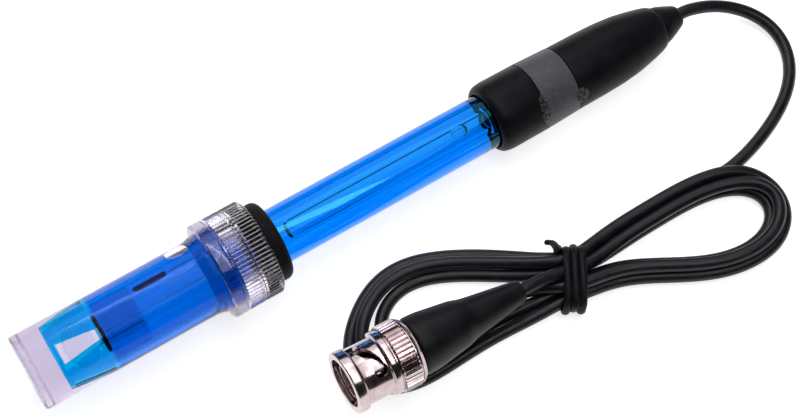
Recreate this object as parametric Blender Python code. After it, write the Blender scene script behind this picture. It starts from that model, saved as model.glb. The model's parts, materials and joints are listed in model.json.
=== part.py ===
"""Combination pH electrode: 12 mm tube with its glass stem, storage bottle, head, coaxial lead and BNC plug.

The electrode lies on a table (z = 0) on the rim of the bottle's cap and on its head.  Its tip points to -X.
The origin is on the table, under the middle of the electrode.  Turned pieces are drawn in millimetres as
(distance along the axis, radius), and their axis is the local X axis of an empty that carries them.
"""
import math

import bmesh
import bpy
from mathutils import Vector

MM = 0.001

# ---- driving dimensions, millimetres -------------------------------------------------------------------------
TUBE_R = 6.0            # 12 mm electrode body
TUBE_BORE_R = 4.5
TUBE_LENGTH = 108.3     # tip to the end inside the head
TIP_R = 5.1             # the guard tapers to this at the tip
GUARD_LENGTH = 10.0
STEM_R = 2.0
STEM_BORE_R = 1.5
BULB_R = 3.6
BULB_CENTRE = 5.6
BULB_WALL = 0.35
SIDE_ROD_R = 3.25       # distance of the reference wire and the junction rod from the axis
WIRE_R = 0.25
GAP = 0.3               # clearance between neighbouring pieces

BOTTLE_R = 8.1
BOTTLE_BORE_R = 7.1
BOTTLE_BASE = -6.1      # outside face of the bottle's floor
NECK_R = 8.6
CAP_START = 35.5
CAP_END = 47.0
CAP_LIP_R = 10.5
CAP_LIP_END = 38.3
CAP_BORE_R = 9.0

HEAD_START = 102.3
COLLAR_R = 7.95
SPIGOT_R = 6.9
BAND_START, BAND_END = 113.4, 121.8
CONE_START, CONE_END = 122.0, 147.4
NOSE_END = 153.4

LEAD_R = 1.4            # thin coaxial lead
HANK_LOW, HANK_TALL = 2.8, 6.6      # one strand deep under the plug, two deep at the tie
HANK_STEP_X = 18.6
TIE_WIRE = 1.3
TIE_CENTRE = (24.6, -37.5)
TIE_TURN = math.radians(-30)        # direction of the strands under the tie
TIE_WIDTH = 4.2

PLUG_FRONT = (-28.1, -34.9)         # centre of the plug's mating face, seen from above
PLUG_TURN = math.radians(-1.8)
PLUG_PITCH = math.radians(4.5)      # the boot points slightly down to the table
NUT_R = 7.25
NUT_KNURL_MIDDLE = 12.0
BOOT_START, BOOT_END = 15.9, 41.5
BOOT_TIP_R = 2.2

ROUND = 40              # sides of a turned piece
SMALL_ROUND = 24
THIN_ROUND = 12

# Outline of the head's cone: its contact with the table sets the angle at which the electrode lies.
CONE_OUTLINE = [
    (CONE_START, 7.5), (129.1, 7.45), (134.1, 7.35), (138.8, 6.85), (141.1, 6.45),
    (143.5, 5.95), (145.9, 5.4), (147.0, 4.9), (CONE_END, 4.4),
]
REST_TILT = min(math.atan2(CAP_LIP_R - radius, along - CAP_LIP_END) for along, radius in CONE_OUTLINE)

# Route of the lead from the nose to the hank, then from the hank to the plug's boot (x, y, z).
LEAD_ROUTE = [
    (84.4, -0.6, 6.2), (87.2, -1.3, 5.6), (90.0, -2.4, 4.7), (93.2, -4.3, 3.4), (96.4, -7.4, 2.2),
    (98.1, -11.6, 1.6), (97.4, -17.2, 1.45), (95.3, -21.6, 1.45), (91.0, -26.0, 1.45),
    (85.6, -29.4, 1.45), (79.6, -32.0, 1.45), (72.9, -33.9, 1.45),
]
HANK_OUTLINE = [
    (19.0, -27.6), (11.6, -21.4), (4.0, -16.8), (-3.6, -15.1), (-11.5, -16.2), (-18.0, -20.0),
    (-22.4, -25.5), (-23.0, -33.0), (-19.0, -40.0), (-11.0, -42.6), (1.0, -42.8), (12.0, -41.9),
    (20.4, -41.0), (29.6, -43.4), (38.0, -47.4), (47.5, -53.3), (58.0, -56.6), (67.5, -55.0),
    (73.8, -49.0), (74.6, -41.5), (69.5, -34.8), (60.6, -32.1), (48.0, -31.7), (36.0, -32.1), (28.3, -33.2),
]


# ---- materials -----------------------------------------------------------------------------------------------
def material(name, colour, roughness, metallic=0.0, alpha=1.0, transmission=0.0):
    mat = bpy.data.materials.new(name)
    mat.use_nodes = True
    shader = mat.node_tree.nodes["Principled BSDF"]
    shader.inputs["Base Color"].default_value = (*colour, 1.0)
    shader.inputs["Roughness"].default_value = roughness
    shader.inputs["Metallic"].default_value = metallic
    shader.inputs["Alpha"].default_value = alpha
    shader.inputs["Transmission Weight"].default_value = transmission
    mat.diffuse_color = (*colour, alpha)
    return mat


# ---- modelling helpers ---------------------------------------------------------------------------------------
def add_object(name, bm, mat, parent=None, smooth_angle=35):
    """Turn a bmesh into a named object with outward faces and smooth rounds."""
    bmesh.ops.recalc_face_normals(bm, faces=bm.faces)
    mesh = bpy.data.meshes.new(name)
    bm.to_mesh(mesh)
    bm.free()
    mesh.shade_smooth()
    mesh.set_sharp_from_angle(angle=math.radians(smooth_angle))
    mesh.materials.append(mat)
    obj = bpy.data.objects.new(name, mesh)
    bpy.context.collection.objects.link(obj)
    obj.parent = parent
    return obj


def turned(name, profile, mat, parent, sides=ROUND):
    """A turned piece: the profile goes round a ring's section, or from the axis back to the axis."""
    bm = bmesh.new()
    verts = [bm.verts.new((along * MM, 0.0, -radius * MM)) for along, radius in profile]
    edges = [bm.edges.new(pair) for pair in zip(verts, verts[1:])]
    on_axis = profile[0][1] == 0 and profile[-1][1] == 0
    if not on_axis:
        edges.append(bm.edges.new((verts[-1], verts[0])))
    bmesh.ops.spin(bm, geom=verts + edges, cent=(0, 0, 0), axis=(1, 0, 0), angle=math.tau,
                   steps=sides, use_merge=True)
    bmesh.ops.remove_doubles(bm, verts=bm.verts, dist=1e-7)
    return add_object(name, bm, mat, parent)


def rod(name, start, end, radius, mat, parent, offset=0.0, angle=0.0, sides=THIN_ROUND):
    """A straight round rod along the axis, at a distance from it in the direction of an angle from +Z."""
    obj = turned(name, [(start, 0), (start, radius), (end, radius), (end, 0)], mat, parent, sides)
    obj.location = (0, -offset * math.sin(angle) * MM, offset * math.cos(angle) * MM)
    return obj


def arc(centre, radius, first_degrees, last_degrees, steps):
    """Points of a circle round a place on the axis, from the front (180 degrees) to the back (0)."""
    angles = [math.radians(first_degrees + (last_degrees - first_degrees) * i / steps) for i in range(steps + 1)]
    return [(centre + radius * math.cos(a), radius * math.sin(a)) for a in angles]


def smooth_route(points, spacing, closed=False):
    """Evenly spaced points of a Catmull-Rom curve through the route's points."""
    route = [Vector(p) for p in points]
    count = len(route)
    dense = []
    for i in range(count if closed else count - 1):
        if closed:
            a, b, c, d = (route[(i + k) % count] for k in (-1, 0, 1, 2))
        else:
            b, c = route[i], route[i + 1]
            a = route[i - 1] if i else 2 * b - c
            d = route[i + 2] if i + 2 < count else 2 * c - b
        for step in range(16):
            t = step / 16
            dense.append(0.5 * (2 * b + (c - a) * t + (2 * a - 5 * b + 4 * c - d) * t ** 2
                                + (3 * b - a - 3 * c + d) * t ** 3))
    dense.append(route[0] if closed else route[-1])
    length = sum((q - p).length for p, q in zip(dense, dense[1:]))
    steps = round(length / spacing)
    result, walked, target = [dense[0]], 0.0, length / steps
    for p, q in zip(dense, dense[1:]):
        piece = (q - p).length
        while walked + piece >= target * len(result) and len(result) < steps:
            result.append(p.lerp(q, (target * len(result) - walked) / piece))
        walked += piece
    if not closed:
        result.append(dense[-1])
    return result


def cord(name, points, mat, spacing=2.6 * LEAD_R):
    """A round tube along a smooth route given in millimetres."""
    curve = bpy.data.curves.new(name, "CURVE")
    curve.dimensions = "3D"
    curve.resolution_u = 1
    curve.render_resolution_u = 0
    curve.bevel_depth = LEAD_R * MM
    curve.bevel_resolution = 2
    curve.use_fill_caps = True
    spline = curve.splines.new("POLY")
    samples = smooth_route(points, spacing)
    spline.points.add(len(samples) - 1)
    for point, place in zip(spline.points, samples):
        point.co = (*(place * MM), 1.0)
    curve.materials.append(mat)
    obj = bpy.data.objects.new(name, curve)
    bpy.context.collection.objects.link(obj)
    return obj


def prism(name, outline, low, high, mat, parent=None):
    """A closed flat outline (x, y) extruded from one height to another."""
    bm = bmesh.new()
    face = bm.faces.new([bm.verts.new((x * MM, y * MM, low * MM)) for x, y in outline])
    raised = bmesh.ops.extrude_face_region(bm, geom=[face])
    verts = [item for item in raised["geom"] if isinstance(item, bmesh.types.BMVert)]
    bmesh.ops.translate(bm, verts=verts, vec=(0, 0, (high - low) * MM))
    return add_object(name, bm, mat, parent)


def box_outline(x0, x1, y0, y1):
    return [(x0, y0), (x1, y0), (x1, y1), (x0, y1)]


def cut(obj, tool):
    """Subtract a hidden cutter from an object."""
    tool.hide_render = True
    tool.display_type = "WIRE"
    boolean = obj.modifiers.new("cut_" + tool.name, "BOOLEAN")
    boolean.operation = "DIFFERENCE"
    boolean.object = tool


def axis_empty(name, location, rotation):
    empty = bpy.data.objects.new(name, None)
    empty.location = [value * MM for value in location]
    empty.rotation_euler = rotation
    bpy.context.collection.objects.link(empty)
    return empty


# ---- electrode -----------------------------------------------------------------------------------------------
def build_tip(axis, mats):
    """Tube with its guard cage, the glass stem and bulb, and what seals them at the tip."""
    tube = turned("body_tube", [
        (0, TIP_R), (GUARD_LENGTH, TUBE_R), (TUBE_LENGTH, TUBE_R), (TUBE_LENGTH, TUBE_BORE_R),
        (1.8, TUBE_BORE_R), (0, 4.2),
    ], mats["blue"], axis)
    window_length, window_width, window_start = 7.2, 3.2, 1.8
    for number in range(2):
        tool = prism(f"window_cutter_{number}", [
            (window_start + window_width / 2 * (1 - math.cos(a)), window_width / 2 * math.sin(a))
            for a in (math.radians(-90 + 30 * i) for i in range(7))
        ] + [(window_start + window_length, window_width / 2), (window_start + window_length, -window_width / 2)],
            -8, 8, mats["blue"], axis)
        tool.rotation_euler = (math.radians(18 + 90 * number), 0, 0)
        cut(tube, tool)

    neck_angle = math.degrees(math.asin(STEM_R / BULB_R))
    bore_angle = math.degrees(math.asin(STEM_BORE_R / (BULB_R - BULB_WALL)))
    turned("glass_stem",
           arc(BULB_CENTRE, BULB_R, 180, neck_angle, 8)
           + [(100.4, STEM_R), (100.4, STEM_BORE_R)]
           + arc(BULB_CENTRE, BULB_R - BULB_WALL, bore_angle, 180, 8),
           mats["glass"], axis, SMALL_ROUND)

    fill_r = BULB_R - BULB_WALL - GAP
    column_r = STEM_BORE_R - GAP
    fill_angle = math.degrees(math.asin(column_r / fill_r))
    turned("inner_buffer",
           arc(BULB_CENTRE, fill_r, 180, fill_angle, 8)
           + [(52.9, column_r), (52.3, WIRE_R + GAP), (6.0, WIRE_R + GAP), (6.0, 0)],
           mats["buffer"], axis, SMALL_ROUND)
    rod("inner_wire", 6.0 + GAP, 112.0, WIRE_R, mats["silver"], axis)

    junction = rod("reference_junction", 9.0, 18.8, 0.45, mats["ceramic"], axis, SIDE_ROD_R, math.pi)
    hole = rod("junction_cutter", 8.0, 20.0, 0.45 + GAP, mats["ceramic"], axis, SIDE_ROD_R, math.pi)
    seal_r, stem_hole_r = TUBE_BORE_R - GAP, STEM_R + GAP
    seal = turned("bulb_seal", [
        (9.0, stem_hole_r), (9.0, seal_r - 0.3), (9.3, seal_r), (10.1, seal_r), (10.4, seal_r - 0.3),
        (10.4, stem_hole_r),
    ], mats["rubber"], axis, SMALL_ROUND)
    plug = turned("tip_plug", [
        (10.7, stem_hole_r), (10.7, seal_r), (18.8, seal_r), (18.8, stem_hole_r),
    ], mats["plug"], axis, SMALL_ROUND)
    cut(seal, hole)
    cut(plug, hole)
    return junction


def build_filling(axis, mats):
    """Reference half cell, and what closes the tube at its upper end."""
    ring_r, stem_hole_r = TUBE_BORE_R - GAP, STEM_R + GAP
    gel = turned("reference_gel", [
        (19.1, stem_hole_r), (19.1, ring_r), (98.7, ring_r), (98.7, stem_hole_r),
    ], mats["gel"], axis, SMALL_ROUND)
    wire_start, wire_angle = 19.7, math.radians(-60)
    rod("reference_wire", wire_start, 112.0, WIRE_R, mats["silver"], axis, SIDE_ROD_R, wire_angle)
    wire_hole = rod("reference_hole_cutter", wire_start - GAP, 115.0, WIRE_R + GAP, mats["silver"], axis,
                    SIDE_ROD_R, wire_angle)
    stopper = turned("top_stopper", [
        (99.0, stem_hole_r), (99.0, ring_r), (108.0, ring_r), (108.0, WIRE_R + GAP),
        (100.8, WIRE_R + GAP), (100.8, stem_hole_r),
    ], mats["rubber"], axis, SMALL_ROUND)
    potting = turned("head_potting", [
        (108.9, WIRE_R + GAP), (108.9, 5.6), (111.2, 5.6), (111.2, WIRE_R + GAP),
    ], mats["epoxy"], axis, SMALL_ROUND)
    for piece in (gel, stopper, potting):
        cut(piece, wire_hole)


def build_head(axis, mats):
    """Two-piece head with its band, the nose that holds the lead, and the lead's end inside."""
    bore_r, cavity_r = TUBE_R + GAP, 5.9
    turned("head_collar", [
        (HEAD_START, bore_r), (HEAD_START, 6.75), (102.7, 7.35), (103.5, 7.8), (104.6, COLLAR_R),
        (113.1, 7.9), (113.1, SPIGOT_R), (125.5, SPIGOT_R), (125.5, cavity_r), (108.6, cavity_r),
        (108.6, bore_r),
    ], mats["black"], axis)
    turned("label_band", [
        (BAND_START, SPIGOT_R + 0.2), (BAND_START, 7.9), (BAND_END, 7.6), (BAND_END, SPIGOT_R + 0.2),
    ], mats["grey"], axis)
    turned("head_cone", CONE_OUTLINE + [
        (CONE_END, 2.9), (141.5, 2.9), (141.5, 4.3), (136.0, 5.0), (126.0, 5.9), (125.9, SPIGOT_R + GAP),
        (CONE_START, SPIGOT_R + GAP),
    ], mats["black"], axis)
    turned("strain_relief", [
        (139.0, 0), (139.0, 3.6), (141.2, 3.6), (141.2, 2.6), (CONE_END + GAP, 2.6), (CONE_END + GAP, 4.4),
        (148.6, 4.3), (151.9, 2.8), (152.9, 2.4), (NOSE_END, 2.0), (NOSE_END, 0),
    ], mats["black"], axis, SMALL_ROUND)
    rod("lead_inner", 112.3, 138.7, LEAD_R, mats["jacket"], axis)


def build_bottle(axis, mats):
    """Storage bottle with its liquid, the screw cap, and the gland that grips the tube."""
    turned("storage_bottle", [
        (BOTTLE_BASE, 0), (BOTTLE_BASE, 7.3), (-5.9, 7.8), (-5.3, BOTTLE_R), (33.0, BOTTLE_R),
        (34.6, 8.7), (35.2, NECK_R), (43.2, NECK_R), (43.2, BOTTLE_BORE_R), (-3.9, BOTTLE_BORE_R),
        (-4.5, 6.5), (-4.5, 0),
    ], mats["clear"], axis)
    liquid_r, tip_space_r = BOTTLE_BORE_R - GAP, TUBE_R + GAP + 0.05
    turned("storage_solution", [
        (-4.2, 0), (-4.2, 6.2), (-3.6, liquid_r), (42.9, liquid_r), (42.9, tip_space_r),
        (GUARD_LENGTH, tip_space_r), (-GAP, TIP_R + GAP), (-GAP, 0),
    ], mats["solution"], axis)
    rib_r, groove_r = CAP_LIP_R - 0.12, CAP_LIP_R - 0.5
    turned("bottle_cap", [
        (CAP_START, CAP_BORE_R), (CAP_START, 10.2), (35.8, CAP_LIP_R), (CAP_LIP_END, CAP_LIP_R),
        (38.4, groove_r), (38.8, groove_r), (38.9, rib_r), (42.2, rib_r), (42.3, groove_r),
        (42.7, groove_r), (42.8, rib_r), (46.3, rib_r), (CAP_END, 9.8), (CAP_END, 7.9), (45.7, 7.9),
        (45.7, CAP_BORE_R),
    ], mats["clear"], axis)
    bore_r = TUBE_R + GAP
    turned("rubber_gland", [
        (43.5, bore_r), (43.5, 8.7), (45.4, 8.7), (45.4, 7.6), (CAP_END + GAP, 7.6), (CAP_END + GAP, 8.5),
        (47.6, 8.7), (49.4, 8.7), (50.1, 8.1), (50.1, bore_r),
    ], mats["rubber"], axis)


# ---- plug ----------------------------------------------------------------------------------------------------
def bayonet_slot(name, start_angle, axis, mats):
    """Cutter of a curved slot: straight in from the lip, then round to a locking hole."""
    path = [(2.6, 0), (3.4, 4), (4.1, 12), (4.7, 22), (5.3, 34), (5.8, 46), (6.2, 58), (6.3, 70)]
    bm = bmesh.new()
    rings = []
    for along, degrees in path:
        angle = start_angle + math.radians(degrees)
        ring = []
        for side, radius in ((-1.1, 4.6), (1.1, 4.6), (1.1, 7.0), (-1.1, 7.0)):
            place = ((along + side) * MM, -radius * math.sin(angle) * MM, radius * math.cos(angle) * MM)
            ring.append(bm.verts.new(place))
        rings.append(ring)
    for ring, following in zip(rings, rings[1:]):
        for i in range(4):
            bm.faces.new((ring[i], ring[(i + 1) % 4], following[(i + 1) % 4], following[i]))
    bm.faces.new(rings[0])
    bm.faces.new(rings[-1])
    return add_object(name, bm, mats["nickel"], axis)


def build_plug(axis, mats):
    """BNC cable plug: bayonet nut, contact body, insulator, pin, seal, wave washer, ferrule and boot."""
    nut = turned("bnc_coupling_nut", [
        (0, 5.1), (0, 6.35), (0.3, 6.65), (2.1, 6.65), (2.4, 6.0), (8.0, 6.0), (8.4, 6.9), (9.8, 6.9),
        (10.0, NUT_R), (14.0, NUT_R), (14.4, 7.1), (15.4, 6.4), (15.4, 4.5), (13.9, 4.5), (13.9, 5.2),
        (2.6, 5.2),
    ], mats["nickel"], axis)
    for number in range(2):
        cut(nut, bayonet_slot(f"slot_cutter_{number}", math.pi * number - math.radians(55), axis, mats))
    turned("bnc_contact_body", [
        (1.0, 3.5), (1.0, 3.9), (1.4, 4.05), (10.2, 4.05), (10.2, 4.9), (12.0, 4.9), (12.0, 4.1),
        (17.2, 4.1), (17.2, 3.1), (11.6, 3.1), (11.6, 3.5),
    ], mats["nickel"], axis)
    turned("bnc_insulator", [(4.0, 1.0), (4.0, 3.2), (11.3, 3.2), (11.3, 1.0)], mats["insulator"], axis,
           SMALL_ROUND)
    turned("bnc_centre_pin", [(2.6, 0), (3.0, 0.5), (3.4, 0.68), (14.5, 0.68), (14.5, 0)], mats["gold"], axis,
           THIN_ROUND)
    turned("bnc_gasket", [(9.0, 4.35), (9.0, 4.8), (9.9, 4.8), (9.9, 4.35)], mats["seal_red"], axis, SMALL_ROUND)
    turned("bnc_wave_washer", [(13.2, 4.4), (13.2, 4.9), (13.6, 4.9), (13.6, 4.4)], mats["steel"], axis,
           SMALL_ROUND)
    turned("bnc_crimp_ferrule", [(17.5, 1.9), (17.5, 3.2), (26.0, 3.2), (26.0, 1.9)], mats["nickel"], axis,
           SMALL_ROUND)
    turned("bnc_boot", [
        (BOOT_START, 4.5), (BOOT_START, 5.9), (16.2, 6.2), (19.0, 6.1), (27.0, 4.9), (29.5, 4.1), (40.6, 2.5),
        (BOOT_END, BOOT_TIP_R), (BOOT_END, 0), (26.5, 0), (26.5, 3.5), (17.5, 3.5), (17.5, 4.5),
    ], mats["black"], axis)


# ---- lead ----------------------------------------------------------------------------------------------------
def build_lead(nose, boot_tip, mats):
    """The lead's free stretches, the tied hank, and the wire tie."""
    nose_direction = Vector((math.cos(REST_TILT), 0, -math.sin(REST_TILT)))
    cord("lead_run", [nose + nose_direction * GAP, nose + nose_direction * 2.2, *LEAD_ROUTE], mats["jacket"])

    outline = [(p.x, p.y) for p in smooth_route([(x, y, 0) for x, y in HANK_OUTLINE], 3.6, closed=True)]
    hank = prism("lead_hank", outline, 0, HANK_TALL, mats["jacket"])
    cut(hank, prism("hank_step_cutter", box_outline(-40, HANK_STEP_X, -60, 0), HANK_LOW, 20, mats["jacket"]))
    notch = prism("hank_notch_cutter", box_outline(-TIE_WIDTH / 2 - GAP, TIE_WIDTH / 2 + GAP, -20, 20), -1,
                  TIE_WIRE + GAP, mats["jacket"])
    notch.location = (TIE_CENTRE[0] * MM, TIE_CENTRE[1] * MM, 0)
    notch.rotation_euler = (0, 0, TIE_TURN)
    cut(hank, notch)

    half_width = 7.3
    tie = prism("hank_tie", box_outline(-TIE_WIDTH / 2, TIE_WIDTH / 2, -half_width - TIE_WIRE,
                                        half_width + TIE_WIRE), 0, HANK_TALL + GAP + TIE_WIRE, mats["tie"])
    tie.location = notch.location
    tie.rotation_euler = (0, 0, TIE_TURN)
    inside = prism("tie_cutter", box_outline(-10, 10, -half_width, half_width), TIE_WIRE, HANK_TALL + GAP,
                   mats["tie"])
    inside.location = notch.location
    inside.rotation_euler = (0, 0, TIE_TURN)
    cut(tie, inside)

    tail_direction = plug_direction()
    cord("lead_tail", [
        boot_tip + tail_direction * GAP, boot_tip + tail_direction * 1.6,
        Vector((HANK_STEP_X - GAP - 1.2, -37.1, HANK_TALL - LEAD_R + 0.1)),
        Vector((HANK_STEP_X - GAP, -37.2, HANK_TALL - LEAD_R)),
    ], mats["jacket"], LEAD_R)


def plug_direction():
    """Unit vector along the plug from its mating face to its boot."""
    return Vector((math.cos(PLUG_TURN) * math.cos(PLUG_PITCH), math.sin(PLUG_TURN) * math.cos(PLUG_PITCH),
                   -math.sin(PLUG_PITCH)))


def main():
    for obj in list(bpy.data.objects):
        bpy.data.objects.remove(obj, do_unlink=True)
    mats = {
        "blue": material("blue_polycarbonate", (0.0, 0.17, 0.85), 0.1, alpha=0.6, transmission=0.8),
        "clear": material("clear_plastic", (0.85, 0.85, 0.92), 0.08, alpha=0.35, transmission=0.9),
        "glass": material("electrode_glass", (0.9, 0.95, 0.97), 0.03, alpha=0.35, transmission=1.0),
        "solution": material("storage_solution", (0.9, 0.95, 1.0), 0.0, alpha=0.3, transmission=1.0),
        "buffer": material("buffer_solution", (0.85, 0.93, 1.0), 0.0, alpha=0.3, transmission=1.0),
        "gel": material("reference_gel", (0.8, 0.9, 1.0), 0.1, alpha=0.4, transmission=0.9),
        "black": material("black_plastic", (0.02, 0.02, 0.022), 0.45),
        "grey": material("grey_band", (0.09, 0.09, 0.11), 0.55),
        "rubber": material("black_rubber", (0.015, 0.015, 0.016), 0.6),
        "jacket": material("lead_jacket", (0.015, 0.015, 0.02), 0.45),
        "tie": material("tie_jacket", (0.015, 0.015, 0.018), 0.5),
        "plug": material("tip_plug_plastic", (0.02, 0.06, 0.2), 0.4),
        "ceramic": material("junction_ceramic", (0.85, 0.83, 0.78), 0.8),
        "epoxy": material("epoxy_resin", (0.1, 0.09, 0.07), 0.4),
        "silver": material("silver_wire", (0.75, 0.74, 0.72), 0.35, metallic=1.0),
        "nickel": material("nickel_plate", (0.72, 0.68, 0.66), 0.2, metallic=1.0),
        "steel": material("spring_steel", (0.55, 0.55, 0.55), 0.3, metallic=1.0),
        "gold": material("gold_plate", (0.9, 0.65, 0.25), 0.25, metallic=1.0),
        "insulator": material("white_insulator", (0.85, 0.85, 0.82), 0.4),
        "seal_red": material("silicone_seal", (0.4, 0.06, 0.04), 0.5),
    }

    middle = (BOTTLE_BASE + NOSE_END) / 2
    axis_height = CAP_LIP_R * math.cos(REST_TILT) + CAP_LIP_END * math.sin(REST_TILT)
    electrode = axis_empty("electrode_axis", (-middle, 0, axis_height), (0, REST_TILT, 0))
    build_tip(electrode, mats)
    build_filling(electrode, mats)
    build_head(electrode, mats)
    build_bottle(electrode, mats)

    knurl_height = HANK_LOW + GAP + NUT_R
    front = Vector((*PLUG_FRONT, knurl_height + NUT_KNURL_MIDDLE * math.sin(PLUG_PITCH)))
    plug = axis_empty("plug_axis", front, (0, PLUG_PITCH, PLUG_TURN))
    build_plug(plug, mats)

    nose = Vector((NOSE_END * math.cos(REST_TILT) - middle, 0, axis_height - NOSE_END * math.sin(REST_TILT)))
    build_lead(nose, front + plug_direction() * BOOT_END, mats)


main()
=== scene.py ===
"""Looks of the pH electrode: clear bottle, blue tube, head, lead and BNC plug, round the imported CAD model.

Turned pieces are drawn as in the CAD: (distance along the axis, radius) in millimetres, and an axis frame whose
X runs from the electrode's tip to its head, or from the plug's mating face to its boot.
"""

import json
import math

import bmesh
import bpy
import numpy as np
from mathutils import Matrix, Vector, noise


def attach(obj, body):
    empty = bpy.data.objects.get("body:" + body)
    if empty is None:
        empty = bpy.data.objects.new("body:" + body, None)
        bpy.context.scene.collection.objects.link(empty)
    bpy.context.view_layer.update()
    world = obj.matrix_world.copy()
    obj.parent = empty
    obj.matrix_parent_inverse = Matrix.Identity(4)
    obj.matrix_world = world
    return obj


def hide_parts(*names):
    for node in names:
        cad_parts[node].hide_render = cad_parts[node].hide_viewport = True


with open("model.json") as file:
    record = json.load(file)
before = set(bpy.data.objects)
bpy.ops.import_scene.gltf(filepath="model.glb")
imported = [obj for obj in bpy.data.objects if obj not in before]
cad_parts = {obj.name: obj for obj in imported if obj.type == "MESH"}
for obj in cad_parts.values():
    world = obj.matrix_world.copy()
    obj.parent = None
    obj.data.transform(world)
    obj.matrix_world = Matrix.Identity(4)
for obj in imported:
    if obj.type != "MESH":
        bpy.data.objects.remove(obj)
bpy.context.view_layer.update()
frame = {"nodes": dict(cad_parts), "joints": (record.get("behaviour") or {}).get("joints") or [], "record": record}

MM = 0.001
FINE = 128              # sides of a turned piece that is seen
LEAD_R = 1.4
STIFFNESS = 220.0       # how far the lead rounds off its route's corners, in mm to the fourth power
NOSE_END = 153.4
BOOT_END = 41.5
TIE_CENTRE = Vector((24.6, -37.5, 0))
TIE_ALONG = Vector((math.cos(math.radians(-30)), math.sin(math.radians(-30)), 0))
TIE_ACROSS = Vector((-TIE_ALONG.y, TIE_ALONG.x, 0))
UP = Vector((0, 0, 1))
WATER = 1.36            # refractive index of the liquids and the gel
HAIR = 0.02             # gap between a liquid and its vessel
TUBE_R = 6.0
TUBE_BORE_R = 4.5
TIP_R = 5.1
GUARD_END = 10.7        # where the open guard ends and the solid plug starts
WET_END = 43.0          # how far up the tube stands in the bottle's liquid
SHARP_ANGLE = 32        # a piece's edges stay sharp above this angle, in degrees


def axis_frame(joint_name):
    """Matrix of a turning joint's axis, with X from the free end inwards."""
    joint = next(j for j in frame["joints"] if j["name"] == joint_name)
    x = -Vector(joint["axis"]).normalized()
    y = UP.cross(x).normalized()
    z = x.cross(y)
    matrix = Matrix((x, y, z)).transposed().to_4x4()
    matrix.translation = Vector(joint["pos_m"])
    return matrix


def thread_pitch():
    """Advance of the bottle in a turn, in millimetres."""
    coupling = next(c for c in frame["record"]["behaviour"]["couplings"] if c["joint"] == "bottle_turn")
    return math.tau / coupling["ratio"] / MM


ELECTRODE = axis_frame("bottle_turn")
PLUG = axis_frame("nut_turn")


# ---- camera --------------------------------------------------------------------------------------------------
def add_camera():
    azimuth, elevation, distance = math.radians(-32.48), math.radians(64.70), 0.362
    target = Vector((0.0043, -0.0043, 0.0))
    look = Vector((-math.sin(azimuth) * math.cos(elevation), math.cos(azimuth) * math.cos(elevation),
                   -math.sin(elevation)))
    data = bpy.data.cameras.new("camera")
    data.sensor_width = 36.0
    data.lens = 76.5
    data.clip_start = 0.01
    camera = bpy.data.objects.new("camera", data)
    camera.location = target - look * distance
    camera.rotation_mode = "QUATERNION"
    camera.rotation_quaternion = look.to_track_quat("-Z", "Y")
    bpy.context.collection.objects.link(camera)
    bpy.context.scene.camera = camera


# ---- materials -----------------------------------------------------------------------------------------------
class Shader:
    """A Principled material whose node tree is filled in step by step."""

    def __init__(self, name, colour, roughness, **values):
        self.material = bpy.data.materials.new(name)
        self.material.use_nodes = True
        self.tree = self.material.node_tree
        self.bsdf = self.tree.nodes["Principled BSDF"]
        self.set("Base Color", (*colour, 1.0))
        self.set("Roughness", roughness)
        for label, value in values.items():
            self.set(label.replace("_", " "), value)
        self.coords = self.node("ShaderNodeTexCoord").outputs["Object"]

    def node(self, kind):
        return self.tree.nodes.new(kind)

    def set(self, label, value):
        self.bsdf.inputs[label].default_value = value

    def link(self, source, target):
        self.tree.links.new(source, target)

    def stretched(self, scale):
        mapping = self.node("ShaderNodeMapping")
        mapping.inputs["Scale"].default_value = scale
        self.link(self.coords, mapping.inputs["Vector"])
        return mapping.outputs["Vector"]

    def noise(self, size_mm, detail=4.0, roughness=0.55, stretch=(1, 1, 1)):
        node = self.node("ShaderNodeTexNoise")
        node.inputs["Scale"].default_value = 1 / (size_mm * MM)
        node.inputs["Detail"].default_value = detail
        node.inputs["Roughness"].default_value = roughness
        self.link(self.stretched(stretch), node.inputs["Vector"])
        return node.outputs["Fac"]

    def ramp(self, source, *stops):
        node = self.node("ShaderNodeValToRGB")
        elements = node.color_ramp.elements
        while len(elements) < len(stops):
            elements.new(0.5)
        for element, (place, colour) in zip(elements, stops):
            element.position = place
            element.color = (*colour, 1.0)
        self.link(source, node.inputs["Fac"])
        return node.outputs["Color"]

    def colour_from(self, source, *stops):
        self.link(self.ramp(source, *stops), self.bsdf.inputs["Base Color"])

    def roughness_from(self, source, low, high):
        node = self.node("ShaderNodeMapRange")
        node.inputs["From Min"].default_value = 0.3
        node.inputs["From Max"].default_value = 0.7
        node.inputs["To Min"].default_value = low
        node.inputs["To Max"].default_value = high
        self.link(source, node.inputs["Value"])
        self.link(node.outputs["Result"], self.bsdf.inputs["Roughness"])

    def bump_from(self, source, height_mm):
        node = self.node("ShaderNodeBump")
        node.inputs["Distance"].default_value = height_mm * MM
        node.inputs["Strength"].default_value = 1.0
        self.link(source, node.inputs["Height"])
        self.link(node.outputs["Normal"], self.bsdf.inputs["Normal"])


def clear(name, colour, ior, roughness=0.02, waves=0.0, glint=(1.0, 1.0, 1.0)):
    """A transparent material. The index is relative to what lies on the other side of the surface."""
    shader = Shader(name, colour, roughness, IOR=ior, Transmission_Weight=1.0, Specular_Tint=(*glint, 1.0))
    if waves:
        shader.bump_from(shader.noise(1.6, 3.0), waves)
    return shader


def absorbing(shader, colour, density):
    """Add a slight tint that grows with the depth of a liquid."""
    volume = shader.node("ShaderNodeVolumeAbsorption")
    volume.inputs["Color"].default_value = (*colour, 1.0)
    volume.inputs["Density"].default_value = density
    shader.link(volume.outputs["Volume"], shader.tree.nodes["Material Output"].inputs["Volume"])
    return shader


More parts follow.
